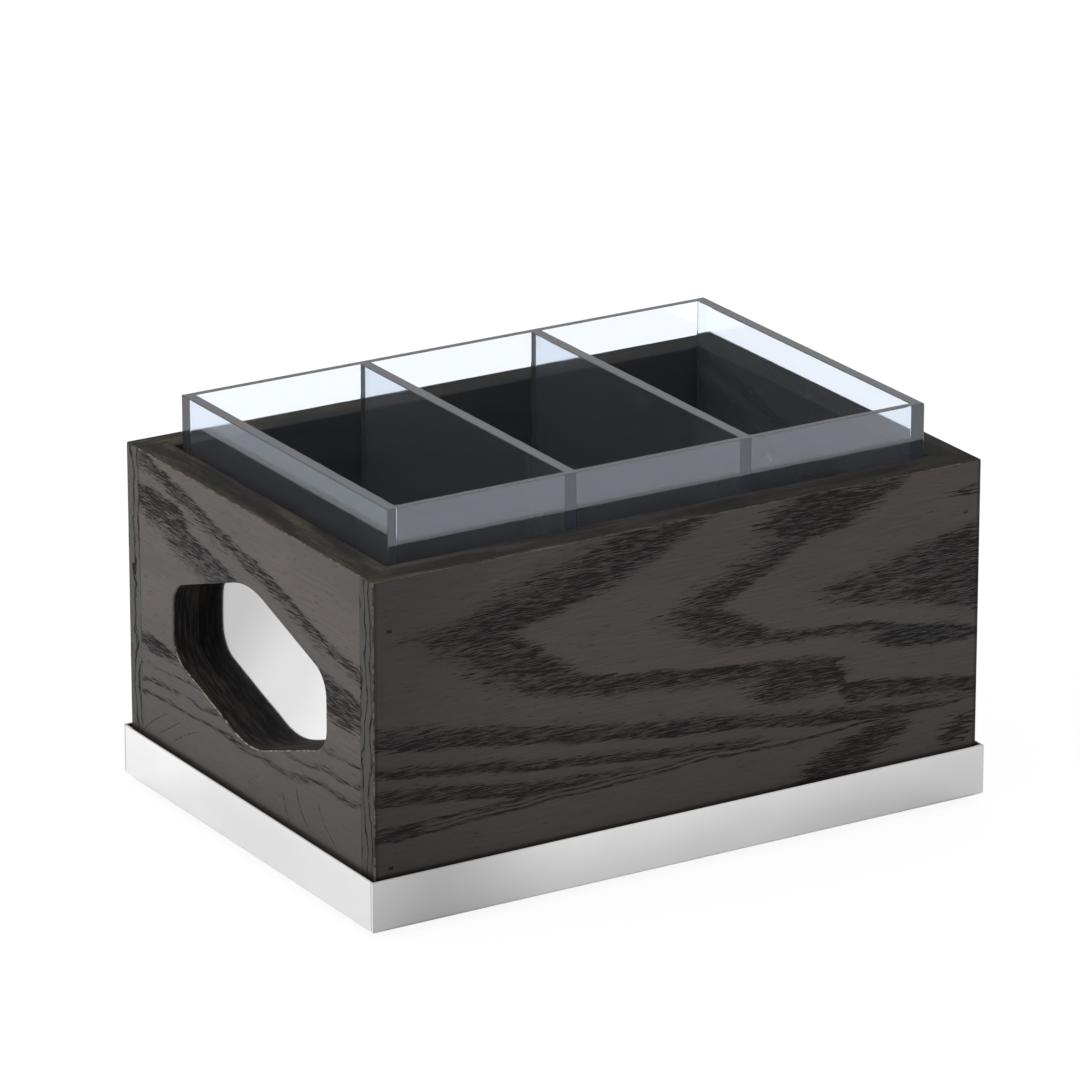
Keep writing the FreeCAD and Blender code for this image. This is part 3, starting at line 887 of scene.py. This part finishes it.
# %% [markdown]
# ## Where the steel's tone drifts
# The pan's long sides carry a painted reflection that is uneven: darker towards
# the left end and brighter in the middle, while its short sides are painted
# evenly bright. The grip plates carry a painted reflection that is brightest at
# their lower front corner, and the brads hardly show at the right, where their
# filler was stained like the wood.


# %% Steel pieces
def pan_painted_reflection(tree, position, facing):
    """A painted reflection: uneven along the long sides, and evenly bright on the short ones."""
    along_pan = split(tree, position)[0]
    # painted reflection along the long sides
    long_side_reflection = soft_drift(
        tree, along_pan, [(-129, 0.60), (-105, 0.54), (-45, 0.92), (0, 0.95), (129, 0.72)])
    # painted reflection: the short sides evenly bright
    short_side = between(tree, size_of(tree, split(tree, facing)[0]), 0.6, 0.8)
    return blend_colours(tree, short_side, long_side_reflection, WHITE)


def plate_painted_reflection(tree, position, facing):
    """A painted reflection, brighter towards its lower front corner."""
    slant = calc(tree, "ADD", *split(tree, position)[1:])
    return soft_drift(tree, slant, [(0, 1.0), (60, 0.75), (110, 0.52)])


def brad_drift(tree, position, facing):
    """Dark at the left, and the tone of the stained wood at the right."""
    along_box = split(tree, position)[0]
    return soft_drift(tree, along_box, [(-127, 0.5), (-20, 0.5), (20, 1.0), (127, 1.0)])


pan_steel = polished_steel("polished_steel_pan", paint(222, 222, 222), 0.20, 0.6, pan_painted_reflection)
plate_steel = polished_steel(
    "polished_steel_plate", paint(226, 226, 226), 0.06, 0.15, plate_painted_reflection)
screw_steel = polished_steel("screw_steel", paint(170, 170, 168), 0.28, 0.2)
brad_steel = polished_steel("brad_steel", paint(60, 57, 55), 0.6, 0.1, brad_drift)
print("steels:", [steel.name for steel in (pan_steel, plate_steel, screw_steel, brad_steel)])

# %% [markdown]
# ## Clear acrylic
# The bin is clear acrylic with a faint smoky blue in its depth. The tint is
# set as absorption inside the solid, so a thin wall stays clear and an edge,
# which is seen along the sheet, turns dark. A real shadow of clear acrylic is
# light, so shadow rays are let through. The broad faces of the long sheets are
# glossier than the cut ends, so a coat is laid on the faces that look along Y.


# %% Clear acrylic
HAZE_DEPTH = 0.001 * MM


def clear_plastic(name, depth_colour, density, painted_glow_strength, roughness, index):
    """Clear plastic: tinted in its depth, a little hazy, with a painted warm glow inside it that
    shows most in its edges.
    """
    material, tree, shader = new_material(name, Transmission_Weight=0.99, Metallic=0.0, IOR=index,
                                          Specular_Tint=(0.66, 0.75, 0.90, 1))
    position, facing = object_place(tree)
    polished = between(tree, size_of(tree, split(tree, facing)[1]), 0.6, 0.9)
    feed(tree, shader.inputs["Coat Weight"], polished)
    mark = place_group(tree, marks, Position=position, Hairline_Length=18.0, Hairline_Width=0.18)
    dusty = calc(tree, "MULTIPLY_ADD", mark["Dust"], 0.3, roughness)
    feed(tree, shader.inputs["Roughness"], dusty)
    feed(tree, shader.inputs["Base Color"],
         blend_colours(tree, mark["Hairlines"], WHITE, (0.96, 0.97, 0.98, 1)))
    bumped(tree, shader, mark["Hairlines"], HAZE_DEPTH)
    output = tree.nodes["Material Output"]

    through = tree.nodes.new("ShaderNodeBsdfTransparent")
    through.inputs[0].default_value = (0.9, 0.93, 0.96, 1)
    path = tree.nodes.new("ShaderNodeLightPath")
    cast = tree.nodes.new("ShaderNodeMixShader")
    for source, socket in zip((path.outputs["Is Shadow Ray"], shader.outputs[0],
                               through.outputs[0]), cast.inputs):
        tree.links.new(source, socket)
    tree.links.new(cast.outputs[0], output.inputs["Surface"])

    depth = tree.nodes.new("ShaderNodeVolumeAbsorption")
    depth.inputs["Color"].default_value = depth_colour
    depth.inputs["Density"].default_value = density
    # A warm emission inside the solid is a painted glow, brightest where an edge is seen along the
    # sheet.
    painted_glow = tree.nodes.new("ShaderNodeEmission")
    painted_glow.inputs["Color"].default_value = (1.0, 0.83, 0.60, 1)
    painted_glow.inputs["Strength"].default_value = painted_glow_strength
    inside = tree.nodes.new("ShaderNodeAddShader")
    tree.links.new(depth.outputs[0], inside.inputs[0])
    tree.links.new(painted_glow.outputs[0], inside.inputs[1])
    tree.links.new(inside.outputs[0], output.inputs["Volume"])
    return material


acrylic = clear_plastic("clear_acrylic", depth_colour=(0.25, 0.45, 0.70, 1), density=70.0,
                        painted_glow_strength=0.7, roughness=0.0, index=1.49)
clear_rubber = clear_plastic("clear_bumper", depth_colour=(0.7, 0.75, 0.8, 1), density=60.0,
                             painted_glow_strength=0.0, roughness=0.12, index=1.42)
print("clear plastics:", acrylic.name, clear_rubber.name)

# %% [markdown]
# ## Rubber
# The feet are black rubber, dull and a little dusty. The rubber is cast in a
# rough mould, so a fine noise lifts its surface everywhere.

# %% Rubber
foot_rubber, tree, shader = new_material("foot_rubber", Specular_IOR_Level=0.35)
position = object_place(tree)[0]
mark = place_group(tree, marks, Position=position, Hairline_Length=2.0, Hairline_Width=1.0)
dusty = calc(tree, "MULTIPLY_ADD", mark["Cloud"], 0.5, mark["Dust"])
feed(tree, shader.inputs["Base Color"],
     blend_colours(tree, dusty, paint(22, 22, 23), paint(70, 69, 68)))
feed(tree, shader.inputs["Roughness"], between(tree, mark["Cloud"], 0.3, 0.7, 0.55, 0.8))
bumped(tree, shader, noise(tree, position, 3.0, 3), 0.05 * MM)
print(foot_rubber.name, "nodes:", len(tree.nodes))

# %% [markdown]
# ## The CAD pieces take their finishes
# A CAD node keeps its mesh and its place, and only its material changes. The
# small parts that get better shapes further down are dressed too, so that no
# plain solid is left if one of them is ever shown.


# %% Finishes for the CAD pieces
def dress(material, *names):
    """Gives CAD nodes one material."""
    for name in names:
        piece = nodes[name]
        piece.data.materials.clear()
        piece.data.materials.append(material)


FOOT_NAMES = ("foot_front_left", "foot_front_right", "foot_back_left", "foot_back_right")
dress(front_oak, "front_panel", "bottom_board")
dress(back_oak, "back_panel")
dress(end_oak, "left_end_panel", "right_end_panel")
dress(pan_steel, "base_pan")
dress(plate_steel, "left_grip_plate", "right_grip_plate")
dress(screw_steel, "left_grip_screws", "right_grip_screws", "pan_screws")
dress(brad_steel, "corner_brads")
dress(foot_rubber, *FOOT_NAMES)
dress(clear_rubber, "bin_pads")
print("dressed:", sum(len(node.data.materials) > 0 for node in nodes.values()), "nodes")

# %% [markdown]
# ## How a new piece joins the model
# A piece that is made here has to ride on one of the model's bodies, so that
# it moves with it, and it names the finish that it carries. Every piece below
# goes through the same small helper, which does both.


# %% Helpers for new pieces
def new_piece(name, mesh_builder, material, body):
    """Turns a bmesh into an object that rides on a body."""
    mesh = bpy.data.meshes.new(name)
    mesh_builder.to_mesh(mesh)
    mesh_builder.free()
    mesh.materials.append(material)
    piece = bpy.data.objects.new(name, mesh)
    bpy.context.scene.collection.objects.link(piece)
    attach(piece, body)
    return piece


def cut(shape, place, normal):
    """Cuts every face of a shape along a plane."""
    everything = shape.verts[:] + shape.edges[:] + shape.faces[:]
    bmesh.ops.bisect_plane(shape, geom=everything, dist=1e-7, plane_co=place, plane_no=normal)


print("helpers for new pieces ready")

# %% [markdown]
# ## The clear bin
# The bin's plates are cemented into one clear body. Two clear solids that
# touch would show a false mirror between them, so the whole bin is one mesh:
# a block whose top is cut by the planes of the walls, and whose three pockets
# are pushed down from it. The planes come from the plates' own boxes.

# %% The clear bin's planes
BIN_PLATES = ["bin_floor", "bin_front_wall", "bin_back_wall", "bin_left_wall",
              "bin_right_wall", "bin_left_divider", "bin_right_divider"]
bin_low = Vector(map(min, *(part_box(name)[0] for name in BIN_PLATES)))
bin_high = Vector(map(max, *(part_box(name)[1] for name in BIN_PLATES)))
floor_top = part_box("bin_floor")[1].z
pocket_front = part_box("bin_front_wall")[1].y
pocket_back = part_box("bin_back_wall")[0].y
left_divider, right_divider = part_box("bin_left_divider"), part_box("bin_right_divider")
pocket_sides = [(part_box("bin_left_wall")[1].x, left_divider[0].x),
                (left_divider[1].x, right_divider[0].x),
                (right_divider[1].x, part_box("bin_right_wall")[0].x)]
print("pockets in mm:", [round((right - left) / MM, 1) for left, right in pocket_sides],
      "deep", round((bin_high.z - floor_top) / MM, 1))

# %% [markdown]
# ## The bin's body
# Six cuts across the block and two along it mark out three rectangles on its
# top, between the walls and the dividers. Each is pushed down to the floor,
# then the flat cuts are dissolved and every sharp edge gets a small round,
# because a real sheet's edges are polished and catch a thin line of light.

# %% The clear bin's body
EDGE_SOFTNESS = 0.25 * MM
SHARP_ANGLE = 0.5

shape = bmesh.new()
bmesh.ops.create_cube(shape, size=1)
bmesh.ops.scale(shape, vec=bin_high - bin_low, verts=shape.verts)
bmesh.ops.translate(shape, vec=(bin_high + bin_low) / 2, verts=shape.verts)
for left, right in pocket_sides:
    cut(shape, (left, 0, 0), (1, 0, 0))
    cut(shape, (right, 0, 0), (1, 0, 0))
for place in (pocket_front, pocket_back):
    cut(shape, (0, place, 0), (0, 1, 0))
pockets = []
for left, right in pocket_sides:
    for face in shape.faces:
        middle = face.calc_center_median()
        in_pocket = left < middle.x < right and pocket_front < middle.y < pocket_back
        if face.normal.z > 0.9 and in_pocket:
            pockets.append(face)
for face in bmesh.ops.extrude_discrete_faces(shape, faces=pockets)["faces"]:
    bmesh.ops.translate(shape, vec=(0, 0, floor_top - bin_high.z), verts=face.verts)
bmesh.ops.dissolve_limit(shape, angle_limit=0.01, verts=shape.verts, edges=shape.edges)
sharp = [e for e in shape.edges if e.calc_face_angle(0) > SHARP_ANGLE]
bmesh.ops.bevel(shape, geom=sharp, offset=EDGE_SOFTNESS, offset_type="OFFSET", affect="EDGES",
                segments=2, profile=0.5, material=-1)
bin_piece = new_piece("clear_bin", shape, acrylic, "bin")
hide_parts(*BIN_PLATES)
print("clear bin:", len(bin_piece.data.polygons), "faces")

# %% [markdown]
# ## A screw head with a cross recess
# A wafer or pan screw has a low crown and a cross-shaped recess. A square grid
# is a handy start: its middle cells make the cross, its outer ring is drawn
# out to a circle, and the cross is pushed down with its sides leaning in. The
# pushed faces leave the old ones behind, so those are deleted.


# %% A screw head
def crowned_head(radius, height, crown):
    """A round, slightly crowned head with a cross recess, open below."""
    cell = 0.2 * radius
    shape = bmesh.new()
    bmesh.ops.create_grid(shape, x_segments=7, y_segments=7, size=3.5 * cell)
    for vert in [v for v in shape.verts if v.is_boundary]:
        vert.co = vert.co.normalized() * radius
    for vert in shape.verts:
        vert.co.z = height - crown * (vert.co.length / radius) ** 2
    cross = []
    for face in shape.faces:
        middle = face.calc_center_median() / cell
        narrow, long = sorted((abs(middle.x), abs(middle.y)))
        if narrow < 0.5 and long < 2.5:
            cross.append(face)
    made = bmesh.ops.extrude_face_region(shape, geom=cross)["geom"]
    bmesh.ops.delete(shape, geom=cross, context="FACES")
    sunk = [g for g in made if isinstance(g, bmesh.types.BMVert)]
    bmesh.ops.scale(shape, vec=(0.62, 0.62, 1), verts=sunk)
    bmesh.ops.translate(shape, vec=(0, 0, -0.6 * height), verts=sunk)
    return shape


print("screw head ready")

# %% [markdown]
# ## A whole screw
# The head is open below. Its border is drawn down to the bearing face, in to
# the shank, down the shank and to a blunt tip, as a turner would cut it, and
# the rim of the head gets a small round. The thread is inside the wood, where
# nobody sees it, so the shank stays plain.


# %% A whole screw
def drawn_out(shape, border, move=(0, 0, 0), scale=1.0):
    """Extrudes an open border, then moves and scales the new rim."""
    made = bmesh.ops.extrude_edge_only(shape, edges=border)["geom"]
    verts = [g for g in made if isinstance(g, bmesh.types.BMVert)]
    bmesh.ops.scale(shape, vec=(scale, scale, 1), verts=verts)
    bmesh.ops.translate(shape, vec=move, verts=verts)
    return [g for g in made if isinstance(g, bmesh.types.BMEdge)]


def cross_head_screw(head_radius, head_height, shank_radius, shank_length):
    """A screw on the Z axis, its bearing face at z = 0, its crown above and its shank below."""
    crown = 0.35 * head_height
    shape = crowned_head(head_radius, head_height, crown)
    border = [e for e in shape.edges if e.is_boundary]
    border = drawn_out(shape, border, (0, 0, crown - head_height))
    border = drawn_out(shape, border, scale=shank_radius / head_radius)
    border = drawn_out(shape, border, (0, 0, -0.8 * shank_length))
    border = drawn_out(shape, border, (0, 0, -0.2 * shank_length), scale=0.2)
    bmesh.ops.edgeloop_fill(shape, edges=border)
    edge_of_head = [e for e in shape.edges
                    if all(abs(v.co.xy.length - head_radius) < 1e-6 for v in e.verts)
                    and abs(e.verts[0].co.z - e.verts[1].co.z) < 1e-6
                    and e.verts[0].co.z > 0.2 * head_height]
    bmesh.ops.bevel(shape, geom=edge_of_head, offset=0.1 * head_height, offset_type="OFFSET",
                    affect="EDGES", segments=2, profile=0.5, material=-1)
    bmesh.ops.recalc_face_normals(shape, faces=shape.faces)
    return shape


print("whole screw ready")

# %% [markdown]
# ## Copies in their places
# The same screw is driven four times on a plate, and each one stops at another
# angle. One pattern is made and copied to where the solids have their screws,
# so that the copies follow the solids.


# %% Copies in their places
def copied(pattern, places):
    """Copies of one bmesh, each put where a matrix says, as one bmesh."""
    single = bpy.data.meshes.new("pattern")
    pattern.to_mesh(single)
    pattern.free()
    together = bmesh.new()
    for place in places:
        before = len(together.verts)
        together.from_mesh(single)
        together.verts.ensure_lookup_table()
        bmesh.ops.transform(together, matrix=place, verts=together.verts[before:])
    bpy.data.meshes.remove(single)
    return together


def in_corners(low, high, inset):
    """The four corners of a rectangle, moved inwards."""
    return [(first, second) for first in (low[0] + inset, high[0] - inset)
            for second in (low[1] + inset, high[1] - inset)]


def driven(points, lay, first_turn, turn_step):
    """Matrices for screws at some points, laid one way and each turned further."""
    return [Matrix.Translation(point) @ lay
            @ Matrix.Rotation(first_turn + step * turn_step, 4, "Z")
            for step, point in enumerate(points)]


def smooth_piece(piece, angle=0.6):
    """Shades soft forms smoothly and keeps the edges that are sharper than the angle."""
    mesh = piece.data
    mesh.shade_smooth()
    shape = bmesh.new()
    shape.from_mesh(mesh)
    for edge in shape.edges:
        edge.smooth = edge.calc_face_angle(0) < angle
    shape.to_mesh(mesh)
    shape.free()


print("helpers for copies ready")

# %% [markdown]
# ## The grip plates' screws
# Wafer screws are used on a thin plate, because their wide, flat heads press
# on a large ring of it. Each plate has four, at the corners of the solids'
# box, with their heads towards the inside of the caddy.

# %% Grip plate screws
PLATE_SCREW_RADIUS = 2.5 * MM
PLATE_SHANK_RADIUS = 1.0 * MM
for side, sign in (("left", -1), ("right", 1)):
    low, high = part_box(f"{side}_grip_screws")
    plate_low, plate_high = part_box(f"{side}_grip_plate")
    if side == "left":
        face, head_end, tip = plate_high.x, high.x, low.x
    else:
        face, head_end, tip = plate_low.x, low.x, high.x
    head_height = abs(head_end - face)
    corners = in_corners(low.yz, high.yz, PLATE_SCREW_RADIUS)
    lay = Matrix.Rotation(-sign * math.pi / 2, 4, "Y")
    places = driven([(face, y, z) for y, z in corners], lay, 0.3, 0.9)
    pattern = cross_head_screw(PLATE_SCREW_RADIUS, head_height, PLATE_SHANK_RADIUS,
                               abs(tip - face))
    piece = new_piece(f"{side}_wafer_screws", copied(pattern, places), screw_steel,
                      "box")
    smooth_piece(piece)
    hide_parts(f"{side}_grip_screws")
    print(piece.name, "faces:", len(piece.data.polygons),
          "head mm:", round(head_height / MM, 2))

# %% [markdown]
# ## The pan's screws
# The base pan is screwed to the bottom board from below with pan-head screws.
# They are the same form with a thicker head and shank, turned upside down.

# %% Pan screws
PAN_SCREW_RADIUS = 3.0 * MM
PAN_SHANK_RADIUS = 1.5 * MM
low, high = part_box("pan_screws")
pan_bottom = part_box("base_pan")[0].z
corners = in_corners(low.xy, high.xy, PAN_SCREW_RADIUS)
upside_down = Matrix.Rotation(math.pi, 4, "X")
places = driven([(x, y, pan_bottom) for x, y in corners], upside_down, 0.2, 0.7)
pattern = cross_head_screw(PAN_SCREW_RADIUS, pan_bottom - low.z, PAN_SHANK_RADIUS,
                           high.z - pan_bottom)
piece = new_piece("pan_head_screws", copied(pattern, places), screw_steel,
                  "box")
smooth_piece(piece)
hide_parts("pan_screws")
print(piece.name, "faces:", len(piece.data.polygons))

# %% [markdown]
# ## Feet
# A moulded rubber foot has a soft lower edge, sides that draw in a little and
# a dished middle, which grips a table like a weak sucker. It is a turned
# shape, so a short profile is spun once round. The profile is given as parts
# of the foot's radius and height, so it fits a foot of any size.


# %% Feet
def turned(profile, centre, segments=48):
    """Spins (radius, height) points round an upright axis."""
    shape = bmesh.new()
    verts = [shape.verts.new((radius, 0, height)) for radius, height in profile]
    edges = [shape.edges.new(pair) for pair in zip(verts, verts[1:])]
    bmesh.ops.spin(shape, geom=verts + edges, cent=(0, 0, 0), axis=(0, 0, 1),
                   angle=2 * math.pi, steps=segments, use_merge=True)
    bmesh.ops.remove_doubles(shape, verts=shape.verts, dist=1e-7)
    bmesh.ops.recalc_face_normals(shape, faces=shape.faces)
    bmesh.ops.translate(shape, vec=centre, verts=shape.verts)
    return shape


FOOT_PROFILE = [(0, 0.3), (0.34, 0.28), (0.46, 0.05), (0.52, 0), (0.8, 0), (0.88, 0.06),
                (0.94, 0.22), (0.98, 0.6), (1, 0.85), (1, 1), (0, 1)]
for name in FOOT_NAMES:
    low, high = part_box(name)
    radius, height = (high.x - low.x) / 2, high.z - low.z
    profile = [(radius * outwards, height * upwards) for outwards, upwards in FOOT_PROFILE]
    centre = ((low.x + high.x) / 2, (low.y + high.y) / 2, low.z)
    piece = new_piece(name.replace("foot", "rubber_foot"), turned(profile, centre),
                      foot_rubber, "box")
    smooth_piece(piece)
    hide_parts(name)
print("feet:", len(FOOT_NAMES), "of radius", round(radius / MM, 1), "mm")

# %% [markdown]
# ## Bumpers
# The bin stands on four clear domes, which keep its floor off the wood. A dome
# is turned too, and its profile is a quarter of an ellipse. It stops just
# short of the bin's floor, so that two clear solids don't share a face.

# %% Bumpers
PAD_RADIUS = 4.0 * MM
PAD_CLEARANCE = 0.02 * MM
DOME_STEPS = 8
low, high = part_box("bin_pads")
height = high.z - low.z - PAD_CLEARANCE
angles = [0.5 * math.pi * step / DOME_STEPS for step in range(DOME_STEPS + 1)]
dome = [(PAD_RADIUS * math.sin(angle), height * (1 - math.cos(angle))) for angle in angles]
dome.append((0, height))
places = [Matrix.Translation((x, y, low.z)) for x, y in in_corners(low.xy, high.xy, PAD_RADIUS)]
piece = new_piece("clear_bumpers", copied(turned(dome, (0, 0, 0), 32), places), clear_rubber,
                  "bin")
smooth_piece(piece)
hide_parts("bin_pads")
print(piece.name, "faces:", len(piece.data.polygons))

# %% [markdown]
# ## The studio floor
# The object stands on a wide sheet of pale paper. To the camera the paper is
# nearly washed out, as in a bright studio, while the object's own light and
# reflections still come from a real, slightly grey sheet.

# %% The floor
FLOOR_SIZE = 14.0
WASHED_OUT = 0.92
shape = bmesh.new()
bmesh.ops.create_grid(shape, x_segments=1, y_segments=1, size=FLOOR_SIZE / 2)
floor_mesh = bpy.data.meshes.new("studio_floor")
shape.to_mesh(floor_mesh)
shape.free()
floor = bpy.data.objects.new("studio_floor", floor_mesh)
bpy.context.scene.collection.objects.link(floor)

paper, tree, shader = new_material("studio_paper", Specular_IOR_Level=0.0, Roughness=1.0)
mottle = noise(tree, object_place(tree)[0], 0.004, 2)
feed(tree, shader.inputs["Base Color"],
     blend_colours(tree, mottle, (0.93, 0.93, 0.93, 1), (0.90, 0.90, 0.90, 1)))
bright = tree.nodes.new("ShaderNodeEmission")
bright.inputs["Color"].default_value = WHITE
path = tree.nodes.new("ShaderNodeLightPath")
seen = tree.nodes.new("ShaderNodeMixShader")
feed(tree, seen.inputs[0], times(tree, path.outputs["Is Camera Ray"], WASHED_OUT))
tree.links.new(shader.outputs[0], seen.inputs[1])
tree.links.new(bright.outputs[0], seen.inputs[2])
tree.links.new(seen.outputs[0], tree.nodes["Material Output"].inputs["Surface"])
floor_mesh.materials.append(paper)
print("floor:", FLOOR_SIZE, "m wide")

# %% [markdown]
# ## The room and its lights
# Polished steel shows the room that it stands in. A bright, even room with one
# strong soft light from the left and a weaker one from above gives the gentle
# fall-off along the pan, and keeps the dark wood readable.

# %% The room and its lights
ROOM_BRIGHTNESS = 0.85
LIT_POINT = Vector((0, 0, 0.08))

world = bpy.data.worlds.new("studio_room")
world.use_nodes = True
world.node_tree.nodes["Background"].inputs["Color"].default_value = WHITE
world.node_tree.nodes["Background"].inputs["Strength"].default_value = ROOM_BRIGHTNESS
bpy.context.scene.world = world


def soft_light(name, place, size, power):
    """A square lamp that faces the object."""
    data = bpy.data.lights.new(name, "AREA")
    data.size = size
    data.energy = power
    light = bpy.data.objects.new(name, data)
    light.location = place
    light.rotation_euler = (LIT_POINT - Vector(place)).to_track_quat("-Z", "Y").to_euler()
    bpy.context.scene.collection.objects.link(light)


soft_light("left_soft_light", place=(-2.6, 0.2, 1.7), size=2.0, power=48)
soft_light("top_soft_light", place=(0.3, 0.4, 2.6), size=1.8, power=28)
bpy.context.scene.view_settings.view_transform = "Standard"
bpy.context.scene.view_settings.look = "None"
print("lights:", len(bpy.data.lights))
